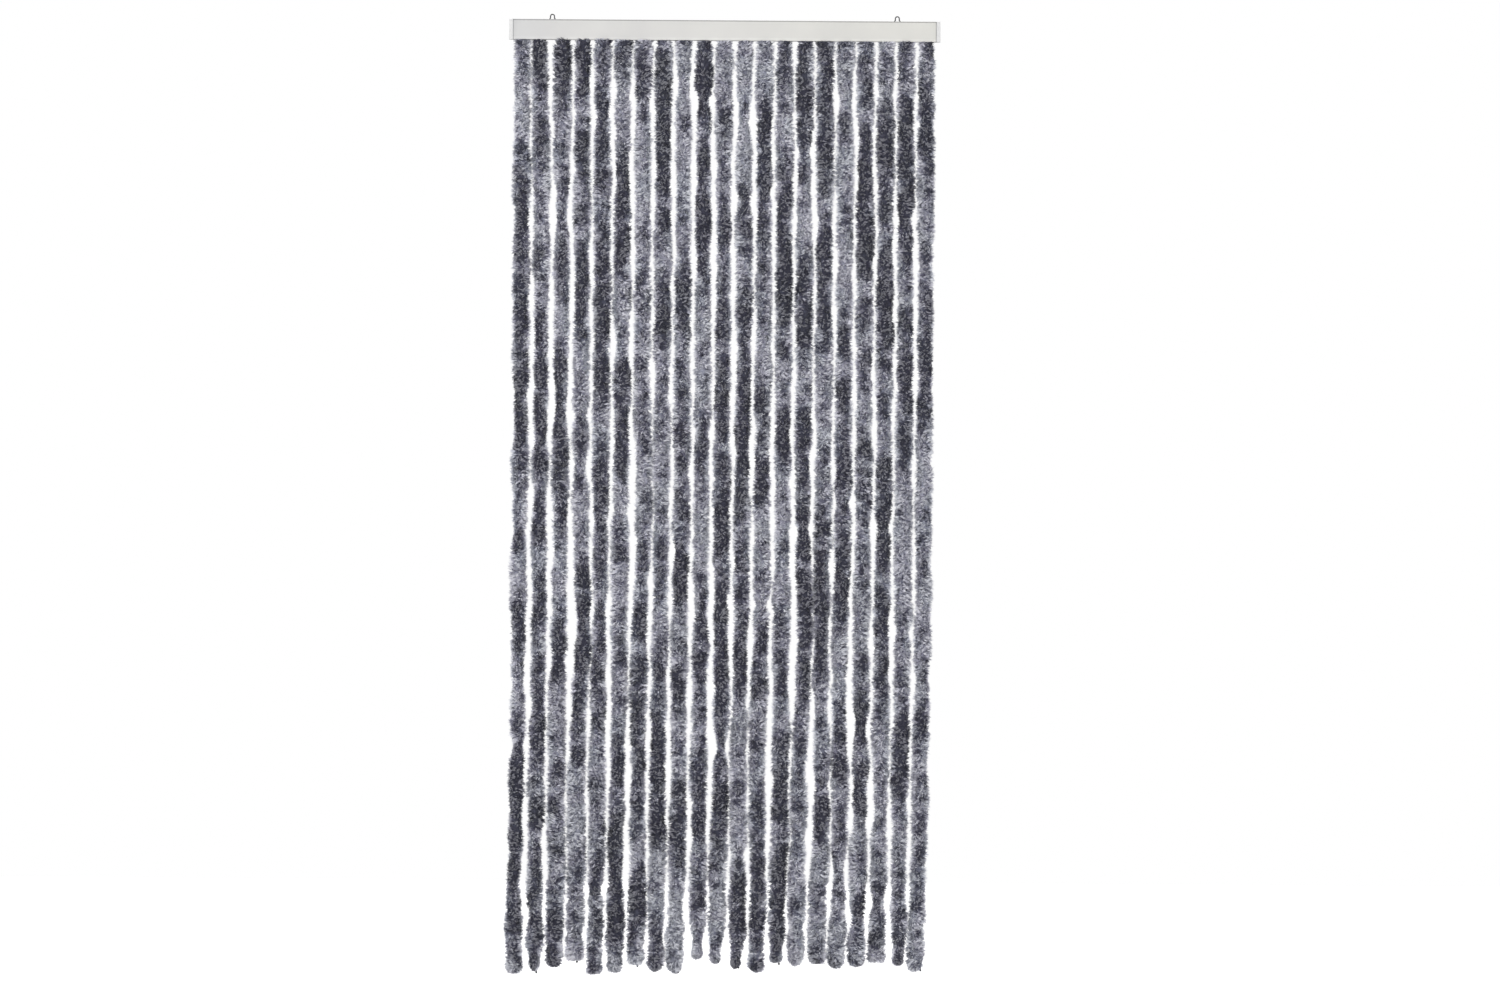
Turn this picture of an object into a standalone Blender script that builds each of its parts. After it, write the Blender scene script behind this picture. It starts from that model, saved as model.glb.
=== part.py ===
"""Chenille fly curtain: a rail with end caps and wire eyes, a carrier strip and a row of hanging strands.

Metres, +Z up, the front towards -Y. The origin lies midway between the two points where
the hooks bear in the eyes. Each strand is a pile on a core cord, and it swings about its top knot.
"""

import math

import bmesh
import bpy

# Whole curtain
CURTAIN_WIDTH = 0.900
STRAND_DROP = 1.950  # from the rail's underside to the tip of the longest strand
END_MARGIN = 0.028  # from a cap's outer face to the middle of the nearest strand
STRAND_GAP = 0.0084  # least clear space between neighbouring piles
TRIM_DEPTH = 0.032  # how much shorter the shortest strand is than the longest
CLEARANCE = 0.0003  # between pieces that touch
OVERRUN = 0.002  # how far a cutter runs past what it cuts
WELD_DISTANCE = 0.000001
SWING_LIMIT = math.radians(40)
SHARP_ANGLE = math.radians(35)

# Rail, a channel that is open below
RAIL_HEIGHT = 0.042
RAIL_WALL = 0.0014
LIP_SEAT = 0.0014  # how far each lip reaches in under the carrier strip
STEP_HEIGHT = 0.0022  # the small rebate along both top edges
STEP_DEPTH = 0.0006
RIB_HEIGHT = 0.0010  # the rib that keeps the carrier strip down
RIB_REACH = 0.0012

# End caps
CAP_FLANGE = 0.008
CAP_EDGE = 0.00025
TENON_SHARE = 0.7  # of the room between the flange and the first knot

# Hanging eyes, bent from round wire
EYE_INSET = 0.090  # from a cap's outer face to the middle of the eye
WIRE_DIAMETER = 0.0024
EYE_WIDTH = 0.0058  # clear width inside the loop
EYE_HEIGHT = 0.0095  # clear height from the rail's top to the top of the loop
FOOT_SPREAD = 0.0017
FOOT_HEIGHT = 0.0034
CLINCH_BEND = 0.0018
CLINCH_LENGTH = 0.004
HOLE_SIDES = 12
ARCH_STEPS = 6
FOOT_STEPS = 4
BEND_STEPS = 3

# Carrier strip
STRIP_THICKNESS = 0.0012

# Core cords, each with a knot at both ends
CORD_DIAMETER = 0.0025
KNOT_RADIUS = 0.0034
NUB_RADIUS = 0.0026
CORD_SIDES = 8
KNOT_STEPS = 4

# Piles
PILE_WIDTH = 0.0336
NECK_WALL = 0.0012
TIP_RADIUS = 0.0052
TAPER_LENGTH = 0.036
RING_STEP = 0.060
PILE_SIDES = 8
TAPER_DEPTH_SHARES = (0.0, 0.42, 0.72, 0.9, 1.0)
TAPER_RADIUS_SHARES = (1.0, 0.93, 0.72, 0.45, 0.0)
LUMP_SHARE = 0.10
LUMP_WAVES = (6, 11)  # long swellings and short necks
SWAY_WAVES = 2
DEPTH_WAVES = 3
SWAY_SHARE = 0.9  # of the room that the piles leave each other
DEPTH_SWAY_SHARE = 0.12  # of the pile's width
PHASE_STEP = 0.38
TRIM_SHARES = (
    0.0, 0.0, 0.4, 0.7, 0.0, 0.1, 0.45, 0.2, 0.05, 1.0, 0.75,
    0.4, 0.2, 0.65, 0.65, 0.75, 0.45, 0.6, 0.95, 0.7, 0.3,
)

# Places that follow from the sizes above
WIRE_RADIUS = WIRE_DIAMETER / 2
CORD_RADIUS = CORD_DIAMETER / 2
RAIL_LENGTH = CURTAIN_WIDTH - 2 * (CAP_FLANGE + CLEARANCE)
RAIL_TOP = -EYE_HEIGHT
RAIL_UNDERSIDE = RAIL_TOP - RAIL_HEIGHT
LIP_TOP = RAIL_UNDERSIDE + RAIL_WALL
STRIP_BOTTOM = LIP_TOP + CLEARANCE
STRIP_TOP = STRIP_BOTTOM + STRIP_THICKNESS
RIB_BOTTOM = STRIP_TOP + CLEARANCE
RIB_TOP = RIB_BOTTOM + RIB_HEIGHT
SLOT_WIDTH = CORD_DIAMETER + 2 * CLEARANCE
KNOT_Z = STRIP_TOP + math.sqrt(KNOT_RADIUS**2 - (SLOT_WIDTH / 2) ** 2) + CLEARANCE
BORE_RADIUS = CORD_RADIUS + CLEARANCE
NUB_SEAT = math.sqrt(NUB_RADIUS**2 - BORE_RADIUS**2) + CLEARANCE


def cord_reach(depth):
    """Half the opening that the cord needs, this far below the knot, to swing to its limit."""
    return depth * math.tan(SWING_LIMIT) + CORD_RADIUS / math.cos(SWING_LIMIT) + CLEARANCE


# The rail is as deep as the swing of the cords needs
LIP_HALF = cord_reach(KNOT_Z - RAIL_UNDERSIDE)
INNER_HALF = LIP_HALF + LIP_SEAT
OUTER_HALF = INNER_HALF + RAIL_WALL

# Strands are spread evenly, with as many as keep the gap between them
STRAND_ROOM = CURTAIN_WIDTH - 2 * END_MARGIN
STRAND_SPACES = math.floor(STRAND_ROOM / (PILE_WIDTH + STRAND_GAP))
STRAND_PITCH = STRAND_ROOM / STRAND_SPACES
PILE_FLAT = math.cos(math.pi / PILE_SIDES)  # a side's distance for a corner's distance of one
PILE_RADIUS = PILE_WIDTH / 2 / PILE_FLAT
SIDE_SWAY = SWAY_SHARE * (STRAND_PITCH - CLEARANCE - PILE_WIDTH * (1 + LUMP_SHARE)) / 2
DEPTH_SWAY = DEPTH_SWAY_SHARE * PILE_WIDTH

TURN = 2 * math.pi


def shoulder_depth(radius):
    """How far below the knot a pile of this radius may start and still clear the rail at the swing limit."""
    under_rail = KNOT_Z - RAIL_UNDERSIDE + CLEARANCE
    return (radius * math.sin(SWING_LIMIT) + under_rail) / math.cos(SWING_LIMIT)


def clear_scene():
    for obj in list(bpy.data.objects):
        bpy.data.objects.remove(obj, do_unlink=True)


def new_collection(name):
    collection = bpy.data.collections.new(name)
    bpy.context.scene.collection.children.link(collection)
    return collection


def new_material(name, colour, roughness, metallic=0.0):
    material = bpy.data.materials.new(name)
    material.use_nodes = True
    material.diffuse_color = (*colour, 1)
    shader = material.node_tree.nodes["Principled BSDF"]
    shader.inputs["Base Color"].default_value = (*colour, 1)
    shader.inputs["Roughness"].default_value = roughness
    shader.inputs["Metallic"].default_value = metallic
    return material


def add_object(name, data, parent=None):
    obj = bpy.data.objects.new(name, data)
    obj.parent = parent
    CURTAIN.objects.link(obj)
    return obj


def add_empty(name, location):
    empty = add_object(name, None)
    empty.empty_display_size = KNOT_RADIUS
    empty.location = location
    return empty


def as_cutter(obj):
    for collection in list(obj.users_collection):
        collection.objects.unlink(obj)
    CUTTERS.objects.link(obj)
    obj.hide_render = True
    obj.display_type = "WIRE"
    return obj


def box(name, low, high):
    """A block from a primitive cube, between two corners."""
    bpy.ops.mesh.primitive_cube_add(size=1, location=(0, 0, 0))
    block = bpy.context.active_object
    block.name = name
    for vertex in block.data.vertices:
        for axis in range(3):
            middle = (low[axis] + high[axis]) / 2
            vertex.co[axis] = middle + vertex.co[axis] * (high[axis] - low[axis])
    return block


def to_mesh(obj):
    """The object again as a plain mesh, with its modifiers applied and its seams welded."""
    bpy.context.view_layer.update()
    evaluated = obj.evaluated_get(bpy.context.evaluated_depsgraph_get())
    mesh = bpy.data.meshes.new_from_object(evaluated)
    weld(mesh)
    made = add_object(obj.name, mesh, obj.parent)
    made.matrix_world = obj.matrix_world
    name = obj.name
    bpy.data.objects.remove(obj, do_unlink=True)
    made.name = name
    return made


def weld(mesh):
    shape = bmesh.new()
    shape.from_mesh(mesh)
    bmesh.ops.remove_doubles(shape, verts=shape.verts, dist=WELD_DISTANCE)
    shape.to_mesh(mesh)
    shape.free()


def boolean(obj, operation, other):
    modifier = obj.modifiers.new(f"{operation.lower()} {other.name}", "BOOLEAN")
    modifier.operation = operation
    modifier.solver = "EXACT"
    modifier.object = other


def finish(obj, material):
    obj.data.materials.clear()
    obj.data.materials.append(material)
    if obj.type == "MESH":
        obj.data.shade_smooth()
        obj.data.set_sharp_from_angle(angle=SHARP_ANGLE)
    return obj


# Rail and end caps


def rail_outline():
    """The channel's section as (y, z), from the top middle down the back and up again at the front."""
    rib = INNER_HALF - RIB_REACH
    outer = outer_half_outline() + [(LIP_HALF, RAIL_UNDERSIDE)]
    inner = [
        (LIP_HALF, LIP_TOP),
        (INNER_HALF, LIP_TOP),
        (INNER_HALF, RIB_BOTTOM),
        (rib, RIB_BOTTOM),
        (rib, RIB_TOP),
        (INNER_HALF, RIB_TOP),
        (INNER_HALF, RAIL_TOP - RAIL_WALL),
    ]
    back = outer + inner
    return back + [(-y, z) for y, z in reversed(back)]


def outer_half_outline():
    """The outside of the section on the back, from the top edge to the lower edge, with its rebate."""
    return [
        (OUTER_HALF - STEP_DEPTH, RAIL_TOP),
        (OUTER_HALF - STEP_DEPTH, RAIL_TOP - STEP_HEIGHT),
        (OUTER_HALF, RAIL_TOP - STEP_HEIGHT),
        (OUTER_HALF, RAIL_UNDERSIDE),
    ]


def extrusion(name, outline, length, middle_x):
    """A flat outline in (y, z), drawn out to both sides of the middle along X."""
    curve = bpy.data.curves.new(name, "CURVE")
    curve.dimensions = "2D"
    curve.fill_mode = "BOTH"
    curve.extrude = length / 2
    spline = curve.splines.new("POLY")
    spline.points.add(len(outline) - 1)
    for point, (y, z) in zip(spline.points, outline):
        point.co = (y, z, 0, 1)
    spline.use_cyclic_u = True
    drawn = add_object(name, curve, HEADER)
    drawn.rotation_euler = (math.pi / 2, 0, math.pi / 2)
    drawn.location.x = middle_x
    return to_mesh(drawn)


def make_rail(material):
    rail = extrusion("header_rail", rail_outline(), RAIL_LENGTH, 0)
    leg_places = [eye_x + side * leg_offset() for eye_x in EYE_PLACES for side in (-1, 1)]
    for number, x in enumerate(leg_places, 1):
        boolean(rail, "DIFFERENCE", leg_hole(number, x))
    return finish(rail, material)


def leg_hole(number, x):
    bpy.ops.mesh.primitive_cylinder_add(
        vertices=HOLE_SIDES,
        radius=(WIRE_RADIUS + CLEARANCE) / math.cos(math.pi / HOLE_SIDES),
        depth=RAIL_WALL + 2 * OVERRUN,
        location=(x, 0, RAIL_TOP - RAIL_WALL / 2),
    )
    hole = bpy.context.active_object
    hole.name = f"leg_hole_{number}"
    return as_cutter(hole)


def make_cap(name, side, material):
    """A flange flush with the rail and a tenon inside it."""
    back = outer_half_outline()
    outline = back + [(-y, z) for y, z in reversed(back)]
    outer_face = side * CURTAIN_WIDTH / 2
    inner_face = outer_face - side * CAP_FLANGE
    cap = extrusion(name, outline, CAP_FLANGE, (outer_face + inner_face) / 2)
    edge = cap.modifiers.new("edge", "BEVEL")
    edge.width = CAP_EDGE
    edge.segments = 2
    tenon_length = TENON_SHARE * (END_MARGIN - CAP_FLANGE - KNOT_RADIUS)
    ends = sorted((inner_face + side * CAP_FLANGE / 2, inner_face - side * tenon_length))
    half = INNER_HALF - CLEARANCE
    top = RAIL_TOP - RAIL_WALL - CLEARANCE
    tenon = box(f"{name}_tenon", (ends[0], -half, RIB_TOP + CLEARANCE), (ends[1], half, top))
    boolean(cap, "UNION", as_cutter(tenon))
    return finish(cap, material)


# Hanging eyes


def leg_offset():
    """How far a leg of the eye stands from the eye's middle where it goes through the rail."""
    return EYE_WIDTH / 2 + WIRE_RADIUS + FOOT_SPREAD


def eye_half_path():
    """The wire's middle line as (x, z), from the top of the loop to the clinched end of one leg."""
    loop = EYE_WIDTH / 2 + WIRE_RADIUS
    loop_z = RAIL_TOP + EYE_HEIGHT - EYE_WIDTH / 2
    path = []
    for step in range(ARCH_STEPS + 1):
        angle = math.pi / 2 * (1 - step / ARCH_STEPS)
        path.append((loop * math.cos(angle), loop_z + loop * math.sin(angle)))
    foot_end = RAIL_TOP + WIRE_RADIUS / 2
    for step in range(FOOT_STEPS + 1):
        share = step / FOOT_STEPS
        spread = FOOT_SPREAD * share * share * (3 - 2 * share)
        height = RAIL_TOP + FOOT_HEIGHT
        path.append((loop + spread, height + (foot_end - height) * share))
    clinch_z = RAIL_TOP - RAIL_WALL - CLEARANCE - WIRE_RADIUS
    for step in range(BEND_STEPS + 1):
        angle = math.pi / 2 * step / BEND_STEPS
        x = leg_offset() + CLINCH_BEND * (1 - math.cos(angle))
        path.append((x, clinch_z + CLINCH_BEND * (1 - math.sin(angle))))
    path.append((leg_offset() + CLINCH_BEND + CLINCH_LENGTH, clinch_z))
    return path


def make_eye(name, middle_x, material):
    half = eye_half_path()
    path = [(-x, z) for x, z in reversed(half[1:])] + half
    curve = bpy.data.curves.new(name, "CURVE")
    curve.dimensions = "3D"
    curve.bevel_depth = WIRE_RADIUS
    curve.bevel_resolution = 2
    curve.use_fill_caps = True
    spline = curve.splines.new("POLY")
    spline.points.add(len(path) - 1)
    for point, (x, z) in zip(spline.points, path):
        point.co = (x, 0, z, 1)
    eye = add_object(name, curve, HEADER)
    eye.location.x = middle_x
    return finish(eye, material)


# Carrier strip


def make_strip(material):
    half_length = RAIL_LENGTH / 2 - CLEARANCE
    half_depth = INNER_HALF - CLEARANCE
    low = (-half_length, -half_depth, STRIP_BOTTOM)
    high = (half_length, half_depth, STRIP_TOP)
    strip = to_mesh(box("carrier_strip", low, high))
    strip.parent = HEADER
    reach = cord_reach(KNOT_Z - STRIP_BOTTOM)
    slots = []
    for number, x in enumerate(STRAND_PLACES, 1):
        low = (x - SLOT_WIDTH / 2, -reach, STRIP_BOTTOM - OVERRUN)
        high = (x + SLOT_WIDTH / 2, reach, STRIP_TOP + OVERRUN)
        slots.append(as_cutter(box(f"slot_{number:02d}", low, high)))
    for slot in slots:
        boolean(strip, "DIFFERENCE", slot)
    return finish(strip, material)


# Strands


def turned(name, profile, sides, closed, parent):
    """A profile of (radius, z) turned about Z, with a side and not a corner towards +X."""
    start = math.pi / sides
    mesh = bpy.data.meshes.new(name)
    vertices = [(r * math.cos(start), r * math.sin(start), z) for r, z in profile]
    edges = [(i, i + 1) for i in range(len(profile) - 1)]
    if closed:
        edges.append((len(profile) - 1, 0))
    mesh.from_pydata(vertices, edges, [])
    obj = add_object(name, mesh, parent)
    screw = obj.modifiers.new("turn", "SCREW")
    screw.axis = "Z"
    screw.steps = sides
    screw.render_steps = sides
    screw.use_merge_vertices = True
    screw.merge_threshold = WELD_DISTANCE
    return to_mesh(obj)


def ball_points(radius, middle_z, low_share, high_share):
    """Points of (radius, z) down a ball's side, between two shares of its half turn."""
    points = []
    for step in range(KNOT_STEPS + 1):
        angle = math.pi * (low_share + (high_share - low_share) * step / KNOT_STEPS)
        points.append((radius * math.sin(angle), middle_z + radius * math.cos(angle)))
    return points


def cord_profile(nub_z):
    """The core cord from the top knot at zero down to the nub below the pile."""
    knot_share = 1 - math.asin(CORD_RADIUS / KNOT_RADIUS) / math.pi
    nub_share = math.asin(CORD_RADIUS / NUB_RADIUS) / math.pi
    knot = ball_points(KNOT_RADIUS, 0, 0, knot_share)
    nub = ball_points(NUB_RADIUS, nub_z, nub_share, 1)
    return [(0, KNOT_RADIUS)] + knot[1:] + nub[:-1] + [(0, nub_z - NUB_RADIUS)]


def pile_rings(number, bottom_z):
    """The outside of a pile from its neck to its tip, as (radius, z), with z from the knot down."""
    full_z = -shoulder_depth(PILE_RADIUS * (1 + LUMP_SHARE))
    taper_z = bottom_z + TAPER_LENGTH
    rings = [(BORE_RADIUS + NECK_WALL, -shoulder_depth(BORE_RADIUS + NECK_WALL))]
    spaces = max(1, round((full_z - taper_z) / RING_STEP))
    for step in range(spaces):
        rings.append((pile_radius(number, step / spaces), full_z + (taper_z - full_z) * step / spaces))
    radius = pile_radius(number, 1)
    for depth_share, radius_share in zip(TAPER_DEPTH_SHARES, TAPER_RADIUS_SHARES):
        tapered = TIP_RADIUS + (radius - TIP_RADIUS) * radius_share
        rings.append((tapered, taper_z - TAPER_LENGTH * depth_share))
    return rings


def pile_radius(number, share):
    """The pile swells and thins along the strand, each strand in its own rhythm."""
    waves = [math.sin(TURN * (count * share + PHASE_STEP * count * number)) for count in LUMP_WAVES]
    return PILE_RADIUS * (1 + LUMP_SHARE * sum(waves) / len(waves))


def sway(number, share):
    """The pile's drift to the side and to the back. Whole waves keep the strand's weight under its knot."""
    side = math.sin(TURN * (SWAY_WAVES * share + PHASE_STEP * number))
    depth = math.sin(TURN * DEPTH_WAVES * share)
    return SIDE_SWAY * side, DEPTH_SWAY * depth


def make_pile(number, nub_z, pivot, material):
    bottom_z = nub_z + NUB_SEAT
    rings = pile_rings(number, bottom_z)
    bore = [(BORE_RADIUS, rings[-1][1]), (BORE_RADIUS, rings[0][1])]
    pile = turned(f"pile_{number:02d}", rings + bore, PILE_SIDES, True, pivot)
    full_z = rings[1][1]
    for vertex in pile.data.vertices:
        if vertex.co.xy.length > BORE_RADIUS + CLEARANCE and vertex.co.z < full_z:
            side, depth = sway(number, (full_z - vertex.co.z) / (full_z - bottom_z))
            steady = min(1, (vertex.co.z - bottom_z) / TAPER_LENGTH)
            vertex.co.x += side * steady
            vertex.co.y += depth * steady
    return finish(pile, material)


def make_strand(number, x, pile_material, cord_material):
    pivot = add_empty(f"strand_{number:02d}", (x, 0, KNOT_Z))
    trim = TRIM_DEPTH * TRIM_SHARES[(number - 1) % len(TRIM_SHARES)]
    tip_z = RAIL_UNDERSIDE - (STRAND_DROP - trim) - KNOT_Z
    nub_z = tip_z + NUB_RADIUS
    cord = turned(f"core_cord_{number:02d}", cord_profile(nub_z), CORD_SIDES, False, pivot)
    finish(cord, cord_material)
    make_pile(number, nub_z, pivot, pile_material)


clear_scene()
CURTAIN = new_collection("chenille_fly_curtain")
CUTTERS = new_collection("cutters")
EYE_PLACES = [side * (CURTAIN_WIDTH / 2 - EYE_INSET) for side in (-1, 1)]
STRAND_PLACES = [STRAND_PITCH * i - STRAND_ROOM / 2 for i in range(STRAND_SPACES + 1)]
HEADER = add_empty("header", (0, 0, 0))

make_rail(new_material("coated_aluminium", (0.70, 0.71, 0.70), 0.42, 0.0))
cap_plastic = new_material("cap_plastic", (0.76, 0.76, 0.75), 0.38)
make_cap("end_cap_left", -1, cap_plastic)
make_cap("end_cap_right", 1, cap_plastic)
steel = new_material("bare_steel_wire", (0.20, 0.20, 0.21), 0.35, 1.0)
make_eye("hanging_eye_left", EYE_PLACES[0], steel)
make_eye("hanging_eye_right", EYE_PLACES[1], steel)
make_strip(new_material("strip_plastic", (0.62, 0.62, 0.61), 0.50))
chenille = new_material("grey_chenille", (0.20, 0.20, 0.235), 0.95)
cord_fibre = new_material("cord_fibre", (0.05, 0.05, 0.06), 0.80)
for strand_number, strand_x in enumerate(STRAND_PLACES, 1):
    make_strand(strand_number, strand_x, chenille, cord_fibre)
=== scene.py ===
"""Dresses the chenille fly curtain: a coated rail with bent wire eyes, and 21 strands of soft pile."""

import math
from types import SimpleNamespace

import bpy
import numpy as np
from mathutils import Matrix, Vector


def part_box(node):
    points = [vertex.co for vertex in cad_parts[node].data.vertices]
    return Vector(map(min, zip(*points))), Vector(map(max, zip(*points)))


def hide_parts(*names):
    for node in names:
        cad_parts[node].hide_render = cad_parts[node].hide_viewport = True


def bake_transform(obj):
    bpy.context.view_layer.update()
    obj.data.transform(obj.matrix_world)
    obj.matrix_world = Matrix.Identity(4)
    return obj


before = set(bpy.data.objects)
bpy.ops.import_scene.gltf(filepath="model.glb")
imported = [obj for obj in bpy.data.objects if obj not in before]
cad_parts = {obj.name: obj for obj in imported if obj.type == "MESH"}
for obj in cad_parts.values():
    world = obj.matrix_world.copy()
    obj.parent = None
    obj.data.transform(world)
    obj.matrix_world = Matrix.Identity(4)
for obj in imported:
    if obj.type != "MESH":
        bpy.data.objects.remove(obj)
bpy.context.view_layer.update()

# Lengths are in metres and angles in radians. A depth is how far below the rail's underside a point of a
# strand is. An angle is where it is round the strand, from the right by way of the back.

# The rail, and how the strands hang from it
RAIL_LOW, RAIL_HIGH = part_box("header_rail")
UNDERSIDE = RAIL_LOW.z
RAIL_HALF_DEPTH = RAIL_HIGH.y
RAIL_GAP = 0.0003  # that fibres keep from it
STRAND_COUNT = 21
FIRST_SEED = 700

# The pile on a strand: its width with all its fibres, the radius that its necks and lumps start from, and
# how far from the strand's middle any fibre may reach
PILE_RADIUS = 0.0173
FURTHEST_FIBRE = 0.0232

# Where the pile ends. It covers the knot on its cord, except on four strands, where it ends just past its
# own solid and the knot shows as a dark nub. A droop is how far past that end single fibres may hang.
KNOT_COVER = 0.0020
KNOT_DROOP = 0.0040
BARE_NUBS = (2, 4, 7, 14)
NUB_COVER = 0.0016
NUB_DROOP = 0.0005

# How long the rounding at each strand's end is
END_LENGTHS = (
    0.020, 0.030, 0.022, 0.020, 0.014, 0.020, 0.020,
    0.022, 0.030, 0.020, 0.020, 0.020, 0.020, 0.020,
    0.022, 0.018, 0.022, 0.022, 0.012, 0.016, 0.028,
)
END_ROOT = 0.0065  # from the tip up to the backing's last ring, where the last tufts have their roots

# The lean and bow that all strands share, and the small shift of each just below the rail
LEAN = -0.0050
BOW = 0.0040
SETTLE = -0.0010
SETTLE_DEPTH = 0.04

# Each strand's own wander: the height and the length of each wave. The slow waves grow down the strand, and
# the ripple has its full height from its own depth on.
SIDE_WAVES = ((0.0016, 0.62), (0.0010, 0.23))
RIPPLE = ((0.0007, 0.110),)
RIPPLE_DEPTH = 0.1
DEPTH_WAVES = ((0.0030, 0.71), (0.0012, 0.26))

# The strands that stray further: the strand's number, the depth at which it does, and how far to the side
STRAYS = (
    (2, 0.03, -0.0055), (4, 1.24, 0.0085), (7, 0.97, 0.0065), (7, 1.86, 0.0040), (10, 1.69, 0.0040),
    (11, 1.45, 0.0060), (12, 0.62, 0.0020), (13, 1.48, -0.0035), (14, 1.48, 0.0040), (15, 1.24, 0.0070),
    (15, 1.88, -0.0045), (16, 1.62, 0.0055), (17, 1.27, -0.0035), (21, 1.90, -0.0065),
)
STRAY_REACH = 0.18

# How thick the pile is, as shares of its radius: fuller at the strand's top and towards its end, with waves
# down the strand and lumps round it. A wave is its share and the length of one of its cells.
EVEN_SHARE = 0.99
FULL_TOP_SHARE = 0.10
FULL_TOP_REACH = 0.18
FULL_END_SHARE = 0.09
FULL_END_SPAN = (0.70, 0.95)  # shares of the strand's length
GIRTH_WAVES = ((0.14, 0.090), (0.08, 0.030))
LUMPS = SimpleNamespace(share=0.10, cells_round=5, cell=0.022)

# The necks, where a strand is thinner: how deep each is, how much thinner the strand is there and how far
# the neck reaches. Every strand has a few at random, between these limits.
NECK_COUNTS = (3, 7)  # from the first, up to but without the second
NECK_PLACES = (0.05, 0.95)  # shares of the strand's length
NECK_SHARES = (0.12, 0.34)
NECK_REACHES = (0.012, 0.030)

# The necks that stand out: those high up by their strand's number, and those low down by the number and how
# far above the tip they are
HIGH_NECKS = {6: (0.106, 0.26, 0.022), 9: (0.090, 0.22, 0.045), 10: (0.115, 0.20, 0.018)}
LOW_NECKS = (
    (1, 0.185, 0.34, 0.050), (2, 0.030, 0.38, 0.020), (4, 0.153, 0.25, 0.012), (4, 0.058, 0.22, 0.014),
    (5, 0.170, 0.15, 0.012), (6, 0.035, 0.25, 0.018), (8, 0.072, 0.25, 0.024), (9, 0.152, 0.28, 0.020),
    (10, 0.040, 0.30, 0.045), (11, 0.030, 0.36, 0.035), (12, 0.020, 0.36, 0.040), (13, 0.107, 0.15, 0.012),
    (14, 0.025, 0.36, 0.026), (15, 0.078, 0.27, 0.014), (17, 0.114, 0.15, 0.015), (18, 0.100, 0.30, 0.028),
    (20, 0.034, 0.34, 0.036),
)

# The pile's tone, from 0 at its darkest to 1 at its lightest: patches from large to small, each kind with
# its weight, its cells round the strand and the length of a cell. They turn round it as they go down.
TONE_PATCHES = ((0.46, 1, 0.180), (0.40, 2, 0.075), (0.46, 3, 0.034), (0.34, 4, 0.014), (0.34, 7, 0.0065))
TONE_TURN = 9.0  # in radians a metre
# Painted light and shade on the pile: its left and right flanks paler, as if catching the light, its front
# and back darker, and its left side paler again, as if lit from there
FLANK_PAINTED_LIGHT = 0.60  # painted light: how much paler the left and right flanks are than the front and back
FLANK_LIGHT_EVEN_COSINE = 0.40  # the cosine at which the painted light on the flanks turns to painted shade towards the front and back
# painted light from the left
LEFT_PAINTED_LIGHT = 0.07
MIDDLE_TONE = 0.50
TONE_CONTRAST = 1.20
DARKER_MIDDLE = 1.3  # the power that brings the middle tones down

# The families of grey, and how the tufts are combed round and up the strand: cells round it and their
# length, and how strongly each way of combing acts
FAMILY_CELLS = (2, 0.060)
COMB_ROUND_CELLS = (4, 0.026)
COMB_UP_CELLS = (4, 0.022)
COMB_ROUND = 2.6
COMB_UP = 0.60

# The closed backing that the tufts stand on, dark with painted shade of the pile's depth. Its radius is a
# share of the pile's, uneven from place to place and never under the least. A step lies between two rings,
# trim comes off the length before they are counted, and point is how far the tip is past the last ring. Its
# tone is mostly a darker one of the pile's, as painted shade, with speckles, and it lies near the roots on
# the fibre map, in their painted shade.
BACKING = SimpleNamespace(
    share=0.62, uneven=(0.90, 1.08), least=0.0015, step=0.007, trim=0.004, sides=12, point=0.0015,
    darkest=0.03, tone_share=0.60, speckle=0.15, end_tone=0.2, along=0.02, along_spread=0.20,
)
ROOT_SHARE = BACKING.share - 0.05  # the tufts' roots are a little inside the backing

# The pile's two coats of tufts: an undercoat of spikes that lie over, dark with the painted shade at the
# roots of the fibre map, and bent tufts that stand up through it. Locks is how many there are on a metre,
# tufts how many a lock has, and end_locks how many more the rounded end has. Tilts are from straight out,
# at the root and at the tip. Along is the place on the fibre map of the root, the bend if there is one, and
# the tip, and painted_light_at_tips is how much further out on it, into its painted light, the tips of light
# tufts are. Spread is the step in tone from a tuft's middle to its side. Lighter is how much the coat's tone
# differs from the pile's. A coat that isn't combed leans to either side at random.
UNDERCOAT = SimpleNamespace(
    locks=6200, tufts=3, end_locks=260, bent=False, tilts=(1.05, 1.05), length=0.0088, width=0.0026,
    along=(0.04, 0.60), painted_light_at_tips=0.0, spread=0.060, lighter=-0.06, combed=False,
)
TOPCOAT = SimpleNamespace(
    locks=3100, tufts=4, end_locks=200, bent=True, tilts=(0.24, 0.95), length=0.0112, width=0.0014,
    along=(0.26, 0.72, 0.74), painted_light_at_tips=0.26, spread=0.032, lighter=0.10, combed=True,
)

# How locks differ: in the way they head, and in tone, where a light patch is the more mottled. Some locks
# are pale or dark flecks, and their chance grows with the patch's tone too.
FIRST_LOCK = 0.0010
END_TURN = 0.49 * math.pi  # the rounded end starts at no turn, and its tip is at a quarter of a circle
COMBED_SPREAD = 0.42
LOOSE_SPREAD = 0.55
MOTTLE = 0.10
MOTTLE_WITH_TONE = 0.30
MOTTLE_TONES = (0.1, 0.8)
PALE_FLECKS = SimpleNamespace(chance=0.12, change=0.30)
DARK_FLECKS = SimpleNamespace(chance=0.20, change=-0.34)

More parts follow.
